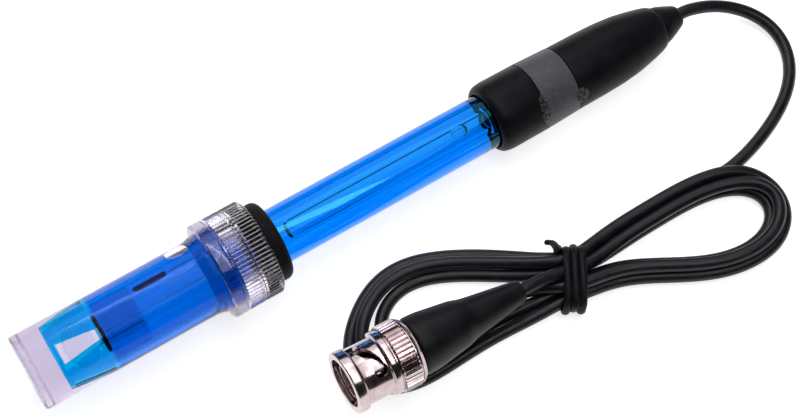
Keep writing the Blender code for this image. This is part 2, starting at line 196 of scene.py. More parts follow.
def blue_plastic(name, ior, colour):
    """The tube's plastic. Its colour lies mostly on the outer wall, so that the tube's edges aren't pale."""
    shader = Shader(name, colour, 0.02, IOR=ior, Transmission_Weight=1.0,
                    Specular_Tint=(0.15, 0.9, 1.0, 1.0))
    streaks = shader.noise(1.2, 4.0, stretch=(0.12, 1, 1))
    red, green, blue = colour
    shader.colour_from(streaks, (0.35, (red, 0.95 * green, 0.99 * blue)), (0.65, (red, 1.05 * green, blue)))
    shader.bump_from(streaks, 0.004)
    return shader


def black_plastic(name, grain, rough, gloss):
    shader = Shader(name, (0.007, 0.006, 0.009), 0.4, Specular_IOR_Level=gloss)
    cloud = shader.noise(5.0, 5.0)
    shader.colour_from(cloud, (0.35, (0.005, 0.0045, 0.007)), (0.7, (0.010, 0.009, 0.012)))
    shader.roughness_from(cloud, *rough)
    shader.bump_from(shader.noise(grain, 3.0), 0.012)
    return shader.material


def rubber(name, colour=(0.007, 0.007, 0.008)):
    shader = Shader(name, colour, 0.6, Specular_IOR_Level=0.1)
    dust = shader.noise(0.8, 6.0, 0.7)
    lighter = tuple(min(1.0, channel * 2.2 + 0.004) for channel in colour)
    shader.colour_from(dust, (0.45, colour), (0.8, lighter))
    shader.roughness_from(dust, 0.5, 0.72)
    shader.bump_from(shader.noise(0.25, 4.0), 0.015)
    return shader.material


def jacket():
    shader = Shader("lead_jacket", (0.009, 0.009, 0.012), 0.4, Specular_IOR_Level=0.32)
    cloud = shader.noise(2.5, 5.0)
    shader.colour_from(cloud, (0.35, (0.006, 0.0055, 0.009)), (0.7, (0.013, 0.012, 0.018)))
    shader.roughness_from(cloud, 0.3, 0.46)
    shader.bump_from(shader.noise(0.6, 4.0), 0.02)
    return shader.material


def nickel():
    shader = Shader("nickel_plate", (0.54, 0.44, 0.45), 0.16, Metallic=1.0)
    cloud = shader.noise(2.0, 6.0)
    shader.colour_from(cloud, (0.3, (0.46, 0.36, 0.37)), (0.7, (0.62, 0.52, 0.53)))
    shader.roughness_from(cloud, 0.10, 0.22)
    shader.bump_from(shader.noise(0.12, 2.0, stretch=(1, 0.06, 0.06)), 0.004)
    return shader.material


def metal(name, colour, rough):
    shader = Shader(name, colour, rough, Metallic=1.0)
    cloud = shader.noise(0.5, 4.0)
    shader.roughness_from(cloud, rough * 0.7, rough * 1.3)
    shader.bump_from(cloud, 0.005)
    return shader.material


def plain(name, colour, rough):
    """A moulded or cast material with slight mottling."""
    shader = Shader(name, colour, rough)
    cloud = shader.noise(1.0, 5.0)
    darker = tuple(channel * 0.82 for channel in colour)
    shader.colour_from(cloud, (0.3, darker), (0.7, colour))
    shader.roughness_from(cloud, rough * 0.85, min(1.0, rough * 1.15))
    shader.bump_from(cloud, 0.01)
    return shader.material


def painted_crest_sheen(name, colour):
    """Half-clear whitish plastic: a painted sheen that stands in for highlights."""
    shader = Shader(name, colour, 0.3, IOR=1.49, Transmission_Weight=0.5)
    cloud = shader.noise(0.8, 4.0)
    shader.roughness_from(cloud, 0.2, 0.45)
    shader.bump_from(cloud, 0.01)
    return shader.material


def frosted(name, colour):
    """A cloudy translucent plastic."""
    shader = Shader(name, colour, 0.0, IOR=1.0, Transmission_Weight=0.97)
    cloud = shader.noise(2.0, 4.0)
    shader.colour_from(cloud, (0.3, tuple(0.92 * channel for channel in colour)), (0.7, colour))
    return shader.material


def grey_band():
    """Matt grey film with a fine cell grain and light scuffs."""
    shader = Shader("grey_band", (0.065, 0.065, 0.085), 0.5, Specular_IOR_Level=0.4)
    scuffs = shader.noise(1.4, 8.0, 0.75)
    shader.colour_from(scuffs, (0.3, (0.055, 0.055, 0.072)), (0.55, (0.080, 0.080, 0.100)),
                       (0.8, (0.17, 0.165, 0.18)))
    shader.roughness_from(scuffs, 0.42, 0.62)
    grain = shader.node("ShaderNodeTexVoronoi")
    grain.inputs["Scale"].default_value = 1 / (0.42 * MM)
    shader.link(shader.coords, grain.inputs["Vector"])
    shader.bump_from(grain.outputs["Distance"], 0.05)
    return shader.material


def dried_glue():
    """Brownish crust, half clear."""
    shader = Shader("dried_glue", (0.06, 0.045, 0.05), 0.45, IOR=1.45, Transmission_Weight=0.35)
    lumps = shader.noise(0.5, 6.0, 0.7)
    shader.colour_from(lumps, (0.45, (0.018, 0.012, 0.015)), (0.75, (0.26, 0.21, 0.22)))
    shader.bump_from(lumps, 0.1)
    return shader.material


def make_materials():
    wall, soft = (0.84, 0.78, 0.88), (0.15, 0.22, 0.4)
    return {
        "blue_tube": blue_plastic("blue_polycarbonate", 1.5, (0.0, 0.26, 0.89)).material,
        "blue_wetted": blue_plastic("blue_polycarbonate_wetted", 1.5 / WATER, (0.0, 0.27, 0.93)).material,
        "blue_bore": blue_plastic("blue_polycarbonate_bore", 1.5 / WATER, (0.3, 0.75, 0.97)).material,
        "blue_tip": blue_plastic("blue_polycarbonate_tip", 1.5 / WATER, (0.0, 0.64, 0.96)).material,
        "clear_plastic": clear("clear_plastic", wall, 1.49, 0.04, waves=0.01, glint=soft).material,
        "clear_wetted": clear("clear_plastic_wetted", wall, 1.49 / WATER).material,
        "clear_base": clear("clear_plastic_base", (0.55, 0.47, 0.62), 1.49, 0.12, waves=0.02).material,
        "clear_cap": clear("clear_cap_plastic", (0.78, 0.73, 0.86), 1.49, 0.05).material,
        "clear_flange": clear("clear_cap_flange", (0.40, 0.37, 0.50), 1.49, 0.12, waves=0.02).material,
        # the ribs' crests: half-clear whitish plastic as a painted highlight on each rib
        "clear_crest": painted_crest_sheen("clear_cap_crest", (0.80, 0.74, 0.84)),
        "clear_pressed": clear("clear_plastic_pressed", (1.0, 1.0, 1.0), 1.0, 0.0).material,
        "bulb_glass": clear("bulb_glass", (0.90, 0.94, 0.96), 1.03).material,
        "glass": clear("stem_glass", (0.97, 0.99, 1.0), 1.47).material,
        "glass_wetted": clear("stem_glass_wetted", (0.98, 0.99, 1.0), 1.03).material,
        "liquid": clear("clear_liquid", (1.0, 1.0, 1.0), 1.0, 0.0).material,
        "solution": absorbing(clear("storage_liquid", (1.0, 1.0, 1.0), 1.0, 0.0), (0.5, 0.5, 0.6), 38.0).material,
        "liquid_surface": clear("liquid_surface", (1.0, 1.0, 1.0), WATER, 0.0).material,
        "black_plastic": black_plastic("black_plastic", 0.35, (0.34, 0.46), 0.1),
        "boot": black_plastic("boot_rubber", 0.5, (0.36, 0.5), 0.2),
        "grey_band": grey_band(),
        "dried_glue": dried_glue(),
        "rubber": rubber("black_rubber"),
        "seal": rubber("silicone_seal", (0.35, 0.05, 0.03)),
        "lead_jacket": jacket(),
        "tie_jacket": black_plastic("tie_jacket", 0.3, (0.4, 0.55), 0.15),
        "tip_plug": frosted("tip_plug_plastic", (0.30, 0.82, 0.92)),
        "ceramic": plain("junction_ceramic", (0.82, 0.80, 0.75), 0.8),
        "epoxy": plain("epoxy_resin", (0.09, 0.08, 0.06), 0.35),
        "silver": metal("silver_wire", (0.75, 0.74, 0.72), 0.3),
        "silver_chloride": plain("silver_chloride_coat", (0.01, 0.04, 0.22), 0.9),
        "nickel": nickel(),
        "spring_steel": metal("spring_steel", (0.5, 0.5, 0.5), 0.3),
        "gold": metal("gold_plate", (0.92, 0.66, 0.28), 0.22),
        "insulator": plain("white_insulator", (0.82, 0.82, 0.78), 0.4),
    }


# ---- meshes --------------------------------------------------------------------------------------------------
def finished(bm, name):
    """The mesh of a filled bmesh."""
    mesh = bpy.data.meshes.new(name)
    bm.to_mesh(mesh)
    bm.free()
    return mesh


def filleted(profile):
    """Round the corners of a profile. A point is (along, radius) or (along, radius, fillet)."""
    closed = not (profile[0][1] == 0 and profile[-1][1] == 0)
    result = []
    count = len(profile)
    for i, point in enumerate(profile):
        corner = Vector(point[:2])
        fillet = point[2] if len(point) > 2 else 0
        if not fillet or (not closed and i in (0, count - 1)):
            result.append(tuple(corner))
            continue
        before = Vector(profile[i - 1][:2]) - corner
        after = Vector(profile[(i + 1) % count][:2]) - corner
        reach = min(fillet, 0.48 * before.length, 0.48 * after.length)
        first, last = corner + before.normalized() * reach, corner + after.normalized() * reach
        for step in range(5):
            t = step / 4
            result.append(tuple(first * (1 - t) ** 2 + corner * 2 * t * (1 - t) + last * t ** 2))
    return result


def turned_mesh(name, profile, sides=FINE, shape=None):
    """Mesh of a turned piece. shape(along, radius, angle) may change a point's radius, as for ribs."""
    points = filleted(profile)
    on_axis = points[0][1] == 0 and points[-1][1] == 0
    bm = bmesh.new()
    rings = []
    for along, radius in points:
        if radius == 0:
            rings.append([bm.verts.new((along * MM, 0, 0))])
            continue
        ring = []
        for k in range(sides):
            angle = math.tau * k / sides
            r = (shape(along, radius, angle) if shape else radius) * MM
            ring.append(bm.verts.new((along * MM, -r * math.sin(angle), r * math.cos(angle))))
        rings.append(ring)
    pairs = list(zip(rings, rings[1:]))
    if not on_axis:
        pairs.append((rings[-1], rings[0]))
    for a, b in pairs:
        for k in range(sides):
            n = (k + 1) % sides
            if len(a) == 1:
                bm.faces.new((a[0], b[n], b[k]))
            elif len(b) == 1:
                bm.faces.new((a[k], a[n], b[0]))
            else:
                bm.faces.new((a[k], a[n], b[n], b[k]))
    bmesh.ops.recalc_face_normals(bm, faces=bm.faces)
    return finished(bm, name)


def place(name, mesh, slot_name, body, nodes=(), matrix=None, smooth_angle=SHARP_ANGLE):
    """Make a mesh a piece: its material, its shading, the body it rides on and the CAD nodes it stands for."""
    mesh.shade_smooth()
    mesh.set_sharp_from_angle(angle=math.radians(smooth_angle))
    mesh.materials.append(materials[slot_name])
    obj = bpy.data.objects.new(name, mesh)
    bpy.context.collection.objects.link(obj)
    obj.matrix_world = matrix or Matrix.Identity(4)
    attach(obj, body)
    if nodes:
        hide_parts(*nodes)
    return obj


def turned(name, profile, slot_name, body, nodes=(), matrix=None, sides=FINE, shape=None):
    """A turned piece on the electrode's axis, or in another frame."""
    mesh = turned_mesh(name, profile, sides, shape)
    return place(name, mesh, slot_name, body, nodes, matrix or ELECTRODE)


def paint(obj, rule):
    """Give each face the material that a rule names for its middle (along, radius, angle), in millimetres."""
    mesh = obj.data
    keys = []
    mesh.materials.clear()
    for polygon in mesh.polygons:
        middle = polygon.center / MM
        key = rule(middle.x, math.hypot(middle.y, middle.z), math.atan2(-middle.y, middle.z))
        if key not in keys:
            keys.append(key)
        polygon.material_index = keys.index(key)
    for key in keys:
        mesh.materials.append(materials[key])


def carve(obj, tool_mesh, matrix):
    """Cut a piece with a mesh now, and leave no modifier behind."""
    tool = bpy.data.objects.new("tool", tool_mesh)
    tool.matrix_world = matrix
    bpy.context.collection.objects.link(tool)
    bpy.context.view_layer.update()
    boolean = obj.modifiers.new("cut", "BOOLEAN")
    boolean.operation = "DIFFERENCE"
    boolean.object = tool
    bpy.context.view_layer.update()
    result = bpy.data.meshes.new_from_object(obj.evaluated_get(bpy.context.evaluated_depsgraph_get()))
    obj.modifiers.clear()
    obj.data = result
    result.shade_smooth()
    result.set_sharp_from_angle(angle=math.radians(SHARP_ANGLE))
    bpy.data.objects.remove(tool)


def swept_mesh(name, sections):
    """Closed mesh through a list of equal sections, each a list of points in millimetres."""
    bm = bmesh.new()
    rings = [[bm.verts.new(Vector(p) * MM) for p in section] for section in sections]
    count = len(rings[0])
    for a, b in zip(rings, rings[1:]):
        for k in range(count):
            n = (k + 1) % count
            bm.faces.new((a[k], a[n], b[n], b[k]))
    bm.faces.new(rings[0])
    bm.faces.new(rings[-1])
    bmesh.ops.recalc_face_normals(bm, faces=bm.faces)
    return finished(bm, name)


def on_axis_point(along, radius, angle):
    """Point at a distance along an axis, a radius and an angle from the top towards -Y."""
    return Vector((along, -radius * math.sin(angle), radius * math.cos(angle)))


# ---- lead ----------------------------------------------------------------------------------------------------
# Route of the lead from the nose to the hank (x, y, z in millimetres), as in the CAD.
LEAD_ROUTE = [
    (84.4, -0.6, 6.2), (87.2, -1.3, 5.6), (90.0, -2.4, 4.7), (93.2, -4.3, 3.4), (96.4, -7.4, 2.2),
    (98.1, -11.6, 1.6), (97.4, -17.2, 1.45), (95.3, -21.6, 1.45), (91.0, -26.0, 1.45),
    (85.6, -29.4, 1.45), (79.6, -32.0, 1.45), (72.9, -33.9, 1.45),
]
# Where the turns of the hank run: three lanes (outwards, height) for its outer, middle and inner strand.
LOW = 1.42
FLAT = ((2.85, LOW), (0.0, LOW), (-2.85, LOW))
HALF = ((2.2, LOW), (0.0, 3.15), (-2.2, LOW))
STACKED = ((1.42, LOW), (0.0, 3.85), (-1.42, LOW))
PARTING = ((2.1, LOW), (0.2, 3.4), (-2.9, LOW))
PARTED = ((3.3, LOW), (0.7, 2.3), (-5.0, LOW))
TURNING = ((3.0, LOW), (0.1, LOW), (-5.8, LOW))
BENT = ((2.0, LOW), (0.5, 3.85), (-0.8, LOW))
DOUBLE = ((1.42, 4.25), (-1.42, 4.25), (-1.42, LOW))
# Middle line of the hank's two loops, run counter-clockwise as seen from above.
LEFT_LOOP = [
    (17.0, -28.9, HALF), (10.4, -24.5, HALF), (4.3, -21.0, HALF), (-1.0, -18.8, HALF), (-5.4, -18.1, HALF),
    (-9.6, -18.9, HALF), (-13.7, -21.2, PARTING), (-17.4, -24.4, PARTING), (-19.8, -28.6, PARTED),
    (-20.1, -32.6, TURNING), (-16.8, -35.7, TURNING), (-11.2, -36.9, FLAT), (-4.6, -36.8, FLAT),
    (1.6, -36.8, FLAT), (8.3, -37.0, FLAT), (14.8, -37.7, FLAT),
]
RIGHT_LOOP = [
    (33.8, -41.5, STACKED), (41.0, -45.4, STACKED), (47.8, -49.2, STACKED), (54.0, -52.0, STACKED),
    (60.6, -53.0, STACKED), (66.2, -52.0, BENT), (70.2, -49.2, BENT), (72.0, -45.4, BENT),
    (71.2, -41.6, BENT), (68.7, -38.7, DOUBLE), (64.6, -36.8, DOUBLE), (58.9, -35.5, DOUBLE),
    (52.2, -35.1, DOUBLE), (45.0, -35.1, DOUBLE), (38.4, -35.0, DOUBLE), (33.0, -35.4, DOUBLE),
]
# Places of the strands under the tie: (across, height), the four upper passes and the three lower ones.
UPPER_SLOTS = [(4.25, 2.75), (2.85, 5.15), (1.42, 2.75), (0.0, 5.15)]
LOWER_SLOTS = [(-4.25, 2.75), (-1.42, 2.75), (-2.85, 5.15)]
INCOMING = [(66.0, -35.2, LOW), (59.2, -33.9, LOW), (52.3, -33.6, LOW), (45.1, -33.6, LOW), (38.4, -33.5, LOW),
            (32.6, -33.6, 1.9)]


def tie_point(slot, along=0.0):
    across, height = slot
    return TIE_CENTRE + TIE_ALONG * along + TIE_ACROSS * across + UP * height


def loop_points(loop, lane, entry, leave):
    """One strand round one loop, set off from the loop's middle line by its lane."""
    points = []
    middles = [entry] + [Vector((x, y, 0)) for x, y, _ in loop] + [leave]
    for before, here, after, (_, _, lanes) in zip(middles, middles[1:], middles[2:], loop):
        direction = (after - before).normalized()
        outwards = Vector((direction.y, -direction.x, 0))
        offset, height = lanes[lane]
        points.append(here + outwards * offset + UP * height)
    return points


def hank_points():
    """The lead's way through the hank: three turns, each a left and a right loop, and seven passes of the tie."""
    centre = TIE_CENTRE
    left_lanes, right_lanes = (0, 1, 2), (0, 2, 1)
    points = []
    for turn in range(3):
        points.append(tie_point(UPPER_SLOTS[turn], 1.5))
        points.append(tie_point(UPPER_SLOTS[turn], -1.5))
        points += loop_points(LEFT_LOOP, left_lanes[turn], centre, centre)
        points.append(tie_point(LOWER_SLOTS[turn], -1.5))
        points.append(tie_point(LOWER_SLOTS[turn], 1.5))
        points += loop_points(RIGHT_LOOP, right_lanes[turn], centre, centre)
    points.append(tie_point(UPPER_SLOTS[3], 1.5))
    points.append(tie_point(UPPER_SLOTS[3], -1.5))
    return points


def smooth_route(points, spacing):
    """Evenly spaced points of a Catmull-Rom curve through the route's points."""
    route = [Vector(p) for p in points]
    count = len(route)
    dense = []
    for i in range(count - 1):
        b, c = route[i], route[i + 1]
        a = route[i - 1] if i else 2 * b - c
        d = route[i + 2] if i + 2 < count else 2 * c - b
        # centripetal spacing keeps close points from making the curve overshoot
        ta = 0.0
        tb = ta + (b - a).length ** 0.5
        tc = tb + (c - b).length ** 0.5
        td = tc + (d - c).length ** 0.5
        for step in range(12):
            t = tb + (tc - tb) * step / 12
            ab = a * (tb - t) / (tb - ta) + b * (t - ta) / (tb - ta)
            bc = b * (tc - t) / (tc - tb) + c * (t - tb) / (tc - tb)
            cd = c * (td - t) / (td - tc) + d * (t - tc) / (td - tc)
            abc = ab * (tc - t) / (tc - ta) + bc * (t - ta) / (tc - ta)
            bcd = bc * (td - t) / (td - tb) + cd * (t - tb) / (td - tb)
            dense.append(abc * (tc - t) / (tc - tb) + bcd * (t - tb) / (tc - tb))
    dense.append(route[-1])
    length = sum((q - p).length for p, q in zip(dense, dense[1:]))
    steps = round(length / spacing)
    result, walked, stride = [dense[0]], 0.0, length / steps
    for p, q in zip(dense, dense[1:]):
        piece = (q - p).length
        while walked + piece >= stride * len(result) and len(result) < steps:
            result.append(p.lerp(q, (stride * len(result) - walked) / piece))
        walked += piece
    result.append(dense[-1])
    return result


def settled(points):
    """The stiff lead's own shape: the smoothest curve near the route whose strands neither cross nor sink."""
    route = np.array(points)
    count = len(route)
    spacing = float(np.linalg.norm(route[1] - route[0]))
    bending = np.diff(np.eye(count), 2, axis=0) / spacing ** 2
    held = np.ones(count)
    held[:6] = held[-6:] = 200.0
    smooth = np.linalg.inv(np.diag(held) + STIFFNESS * bending.T @ bending) @ np.diag(held)
    apart = int(9.0 / spacing)          # neighbours along the strand don't push each other
    target = route.copy()
    for _ in range(120):
        shape = smooth @ target
        offsets = shape[:, None, :] - shape[None, :, :]
        distance = np.linalg.norm(offsets, axis=2)
        near = np.triu(distance < 2 * LEAD_R, apart)
        push = np.zeros_like(shape)
        for i, j in zip(*np.nonzero(near)):
            away = offsets[i, j] / max(distance[i, j], 0.1) * (2 * LEAD_R - distance[i, j]) / 2
            push[i] += away
            push[j] -= away
        push[:, 2] += np.maximum(0, LEAD_R + 0.02 - shape[:, 2])
        push[held > 1] = 0
        target += 0.5 * push
    shape = smooth @ target
    return [Vector(p) for p in shape], float(np.linalg.norm(np.diff(shape, axis=0), axis=1).sum())


def round_curve(name, points, radius, slot_name, body):
    """A round tube along points in millimetres, with closed ends."""
    curve = bpy.data.curves.new(name, "CURVE")
    curve.dimensions = "3D"
    curve.resolution_u = 1
    curve.bevel_depth = radius * MM
    curve.bevel_resolution = 5
    curve.use_fill_caps = True
    spline = curve.splines.new("POLY")
    spline.points.add(len(points) - 1)
    for point, here in zip(spline.points, points):
        point.co = (*(here * MM), 1.0)
    spline.use_smooth = True
    curve.materials.append(materials[slot_name])
    obj = bpy.data.objects.new(name, curve)
    bpy.context.collection.objects.link(obj)
    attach(obj, body)
    return obj


def build_lead():
    """The whole lead from the nose to the plug. Gives the piece, its exit and its length in millimetres."""
    nose = ELECTRODE @ (Vector((NOSE_END, 0, 0)) * MM) / MM
    nose_direction = ELECTRODE.to_3x3() @ Vector((1, 0, 0))
    boot_tip = PLUG @ (Vector((BOOT_END, 0, 0)) * MM) / MM
    boot_direction = PLUG.to_3x3() @ Vector((1, 0, 0))
    route = [nose - nose_direction * 0.6, nose + nose_direction * 2.2]
    route += [Vector(p) for p in LEAD_ROUTE + INCOMING]
    route += hank_points()
    route += [boot_tip + boot_direction * 2.4, boot_tip - boot_direction * 0.8]
    points = smooth_route(route, 0.9)
    points, length = settled(points)
    lead = round_curve("lead", points, LEAD_R, "lead_jacket", "electrode")
    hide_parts("lead_run", "lead_hank", "lead_tail")
    print("lead length", round(length, 1))
    return lead, nose, length


def build_tie():
    """A thin flat strand wound three times round the hank. One end sticks out at the far side."""
    section = [(-7.2, 3.2), (-6.8, 1.5), (-4.8, 0.72), (0.0, 0.68), (5.0, 0.74), (6.4, 2.2), (6.1, 4.4),
               (4.5, 6.5), (1.6, 7.25), (-1.6, 7.2), (-4.9, 6.4), (-6.9, 5.0)]
    turns, pitch = 3, 1.6
    steps = len(section)
    route = [tie_point((8.0, 3.4), -4.0), tie_point((7.3, 4.4), -2.9)]
    start = steps - 5
    for k in range(turns * steps + 2):
        across, height = section[(start - k) % steps]
        wander = 1.0 + 0.04 * math.sin(k * 1.3)
        route.append(tie_point((across * wander, height), pitch * (k / steps - turns / 2) + 0.35))
    route += [tie_point((4.6, 3.4), 2.4)]
    points = smooth_route(route, 0.4)
    sections = []
    for before, here, after in zip([points[0]] + points, points, points[1:] + [points[-1]]):
        forward = (after - before).normalized()
        side = (TIE_ALONG - forward * TIE_ALONG.dot(forward)).normalized()
        normal = forward.cross(side)
        sections.append([here + side * 0.84 * math.cos(a) + normal * 0.6 * math.sin(a)
                         for a in (math.tau * k / 12 for k in range(12))])
    return place("hank_tie_strand", swept_mesh("tie", sections), "tie_jacket", "electrode", ["hank_tie"],
                 smooth_angle=70)


# ---- electrode -----------------------------------------------------------------------------------------------
def build_tube():
    """Blue body with the four windows of its guard."""
    tube = turned("blue_body", [
        (0, TIP_R, 0.25), (10.0, TUBE_R, 1.0), (WET_END, TUBE_R), (108.3, TUBE_R), (108.3, TUBE_BORE_R),
        (10.8, TUBE_BORE_R), (1.8, TUBE_BORE_R, 0.3), (0, 4.25, 0.3),
    ], "blue_tube", "electrode", ["body_tube"])
    first, last, half_tip, half_root = 1.0, 9.6, 1.9, 1.0
    for number in range(4):
        window = [[(first, -half_tip, radius), (last, -half_root, radius), (last, half_root, radius),
                   (first, half_tip, radius)] for radius in (3.2, 7.5)]
        turn = Matrix.Rotation(math.radians(21 + 90 * number), 4, "X")
        carve(tube, swept_mesh("window", window), ELECTRODE @ turn)

    def tube_face(along, radius, angle):
        if along < GUARD_END:
            return "blue_tip"
        if radius < TUBE_BORE_R + 0.1:
            return "blue_bore"
        return "blue_wetted" if along < WET_END else "blue_tube"

    paint(tube, tube_face)


def arc(centre, radius, first_degrees, last_degrees, steps):
    """Profile points on a circle round a place on the axis."""
    angles = [math.radians(first_degrees + (last_degrees - first_degrees) * i / steps) for i in range(steps + 1)]
    points = [(centre + radius * math.cos(a), radius * math.sin(a)) for a in angles]
    return [(along, 0 if abs(r) < 1e-9 else r) for along, r in points]


def bubble_mesh(along, across, thick):
    """Ellipsoid with three half lengths in millimetres."""
    bm = bmesh.new()
    bmesh.ops.create_icosphere(bm, subdivisions=4, radius=1.0)
    bmesh.ops.transform(bm, matrix=Matrix.Diagonal((along * MM, across * MM, thick * MM, 1.0)), verts=bm.verts)
    return finished(bm, "bubble")


def at(along, radius, degrees):
    """Place on a turned surface, in the electrode's frame. Degrees run from the top towards -Y."""
    return Matrix.Rotation(math.radians(degrees), 4, "X") @ Matrix.Translation(Vector((along, 0, radius)) * MM)


def build_inside():
    """What is in the tube: glass stem and bulb, liquids, wires, seals. Wetted faces have a relative index."""
    bulb_centre, bulb_r, wall = 5.6, 3.6, 0.35
    stem_r, bore_r, fill_end, stopper = 2.2, 1.75, 53.4, 102.3
    neck = math.degrees(math.asin(stem_r / bulb_r))
    bore = math.degrees(math.asin(bore_r / (bulb_r - wall)))
    stem = turned("stem_and_bulb",
                  arc(bulb_centre, bulb_r, 180, neck, 20)
                  + [(stopper - 0.2, stem_r), (stopper - 0.2, bore_r), (fill_end + 0.6, bore_r)]
                  + arc(bulb_centre, bulb_r - wall, bore, 180, 20),
                  "glass", "electrode", ["glass_stem"], sides=96)

    def stem_face(along, radius, angle):
        if along < 9:
            return "bulb_glass"
        return "glass" if radius < 2 and along > fill_end + 0.6 else "glass_wetted"

    paint(stem, stem_face)
    fill_r, column_r = bulb_r - wall - HAIR, bore_r - HAIR
    fill = math.degrees(math.asin(column_r / fill_r))
    filling = turned("stem_filling",
                     arc(bulb_centre, fill_r, 180, fill, 20)
                     + [(fill_end + 0.6, column_r), (fill_end, 1.6), (fill_end - 0.5, 1.25),
                        (fill_end - 0.8, 0.7), (fill_end - 0.9, 0)],
                     "liquid", "electrode", ["inner_buffer"], sides=96)
    paint(filling, lambda along, radius, angle:
          "liquid_surface" if along > fill_end - 1.0 and radius < 1.72 else "liquid")
    gel = turned("gel", [
        (19.0, stem_r + HAIR), (19.0, TUBE_BORE_R - HAIR), (stopper - 0.1, TUBE_BORE_R - HAIR),
        (stopper - 0.1, stem_r + HAIR),
    ], "liquid", "electrode", ["reference_gel"], sides=96)
    bubble = 94.6
    carve(gel, bubble_mesh(1.9, 1.3, 0.7), ELECTRODE @ at(bubble, 3.7, 12))
    paint(gel, lambda along, radius, angle:
          "liquid_surface" if abs(along - bubble) < 2.5 and 2.3 < radius < 4.45 else "liquid")

    wires_end, wire_r, coat_end, ring_r = 112.0, 0.1, 27.0, 3.25        # ring_r: of what stands beside the stem
    turned("silver_lead", [(11.0, 0), (11.0, wire_r), (wires_end, wire_r), (wires_end, 0)],
           "silver", "electrode", ["inner_wire"], sides=12)
    reference = turned("reference_coat", [
        (19.7, 0), (19.7, 0.45, 0.3), (coat_end, 0.45, 0.2), (coat_end, wire_r), (wires_end, wire_r),
        (wires_end, 0),
    ], "silver", "electrode", ["reference_wire"], ELECTRODE @ at(0, ring_r, -60), sides=16)
    paint(reference, lambda along, radius, angle: "silver_chloride" if along < coat_end + 0.1 else "silver")
    turned("junction_wick", [(9.0, 0), (9.0, 0.1), (18.8, 0.1), (18.8, 0)],
           "ceramic", "electrode", ["reference_junction"], ELECTRODE @ at(0, ring_r, 180), sides=12)
    turned("stem_grommet", [
        (9.9, stem_r + 0.1), (9.9, 3.05, 0.3), (10.6, 3.05, 0.3), (10.6, stem_r + 0.1),
    ], "rubber", "electrode", ["bulb_seal"], sides=64)
    turned("cloudy_plug", [
        (10.8, stem_r + 0.1), (10.8, 4.46, 0.3), (18.8, 4.46, 0.3), (18.8, stem_r + 0.1),
    ], "tip_plug", "electrode", ["tip_plug"], sides=96)
    turned("stopper", [
        (stopper, 0.3), (stopper, 4.4, 0.3), (stopper + 0.8, 4.47), (108.0, 4.47), (108.0, 0.3),
    ], "rubber", "electrode", ["top_stopper"], sides=96)


def glue_patch(bm, along, degrees, length, width, seed):
    """A crust of dried glue on the head, thick in the middle and running out at its edge, as part of a mesh."""
    steps_u, steps_a = 28, 44
    upper, lower = [], []
    for i in range(steps_u + 1):
        for j in range(steps_a + 1):
            u, a = 2 * i / steps_u - 1, 2 * j / steps_a - 1
            radius = 7.9 - 0.03 * max(0.0, along + u * length / 2 - 113.2)
            lump = noise.noise(Vector((3.1 * u, 5.2 * a, seed)))
            lump += 0.5 * noise.noise(Vector((9 * u, 14 * a, seed)))
            height = max(0.0, (1 - u * u - a * a) * 0.5 + 0.35 * lump) * (1 - max(abs(u), abs(a)) ** 8)
            angle = math.radians(degrees) + a * width / 2 / radius
            for rows, r in ((upper, radius + min(0.3, 0.7 * height - 0.08)), (lower, radius - 0.1)):
                rows.append(bm.verts.new(on_axis_point(along + u * length / 2, r, angle) * MM))
    stride = steps_a + 1
    for rows in (upper, lower):
        for i in range(steps_u):
            for j in range(steps_a):
                k = i * stride + j
                bm.faces.new((rows[k], rows[k + 1], rows[k + stride + 1], rows[k + stride]))
    rim = list(range(stride)) + [i * stride + steps_a for i in range(1, steps_u + 1)]
    rim += [steps_u * stride + j for j in range(steps_a - 1, -1, -1)]
    rim += [i * stride for i in range(steps_u - 1, 0, -1)]
    for k, n in zip(rim, rim[1:] + rim[:1]):
        bm.faces.new((upper[k], upper[n], lower[n], lower[k]))


def build_glue():
    """Two crusts of old glue at the grey band's edges."""
    bm = bmesh.new()
    glue_patch(bm, 113.0, 58, 2.6, 8.6, 1.0)
    glue_patch(bm, 122.4, 66, 3.4, 3.8, 4.0)
    bmesh.ops.recalc_face_normals(bm, faces=bm.faces)
    place("dried_glue", finished(bm, "glue"), "dried_glue", "electrode", matrix=ELECTRODE, smooth_angle=60)


def build_head():
    """Black head in two halves, the grey band between them and the nose of the lead."""
    turned("head_lower", [
        (102.3, 6.25, 0.2), (102.3, 6.75, 0.5), (103.0, 7.6, 1.0), (104.6, 7.95, 1.2), (113.1, 7.9, 0.25),
        (113.1, 7.0), (112.0, 7.0), (112.0, 6.25),
    ], "black_plastic", "electrode", ["head_collar"])
    turned("grey_sleeve", [
        (113.25, 7.1), (113.25, 7.9, 0.15), (121.75, 7.6, 0.15), (121.75, 7.1),
    ], "grey_band", "electrode", ["label_band"])
    turned("head_upper", [
        (121.9, 7.55, 0.2), (129.1, 7.48, 1.0), (134.1, 7.33, 1.5), (138.8, 6.88, 1.5), (141.1, 6.45, 0.8),
        (143.5, 5.95, 0.8), (145.9, 5.36, 0.8), (147.1, 4.9, 0.4), (147.4, 4.4, 0.2), (147.4, 2.9), (141.5, 2.9),
        (136.0, 5.0), (126.0, 6.2), (121.9, 7.2),
    ], "black_plastic", "electrode", ["head_cone"])
    turned("nose", [
        (139.0, 0), (139.0, 3.6), (141.2, 3.6), (141.2, 2.6), (147.45, 2.6), (147.45, 4.45, 0.3),
        (148.8, 4.2, 0.6), (150.4, 3.6, 0.8), (151.9, 2.95, 0.6), (152.9, 2.5, 0.4),
        (NOSE_END, 2.0, 0.2), (NOSE_END, 0),
    ], "black_plastic", "electrode", ["strain_relief"])


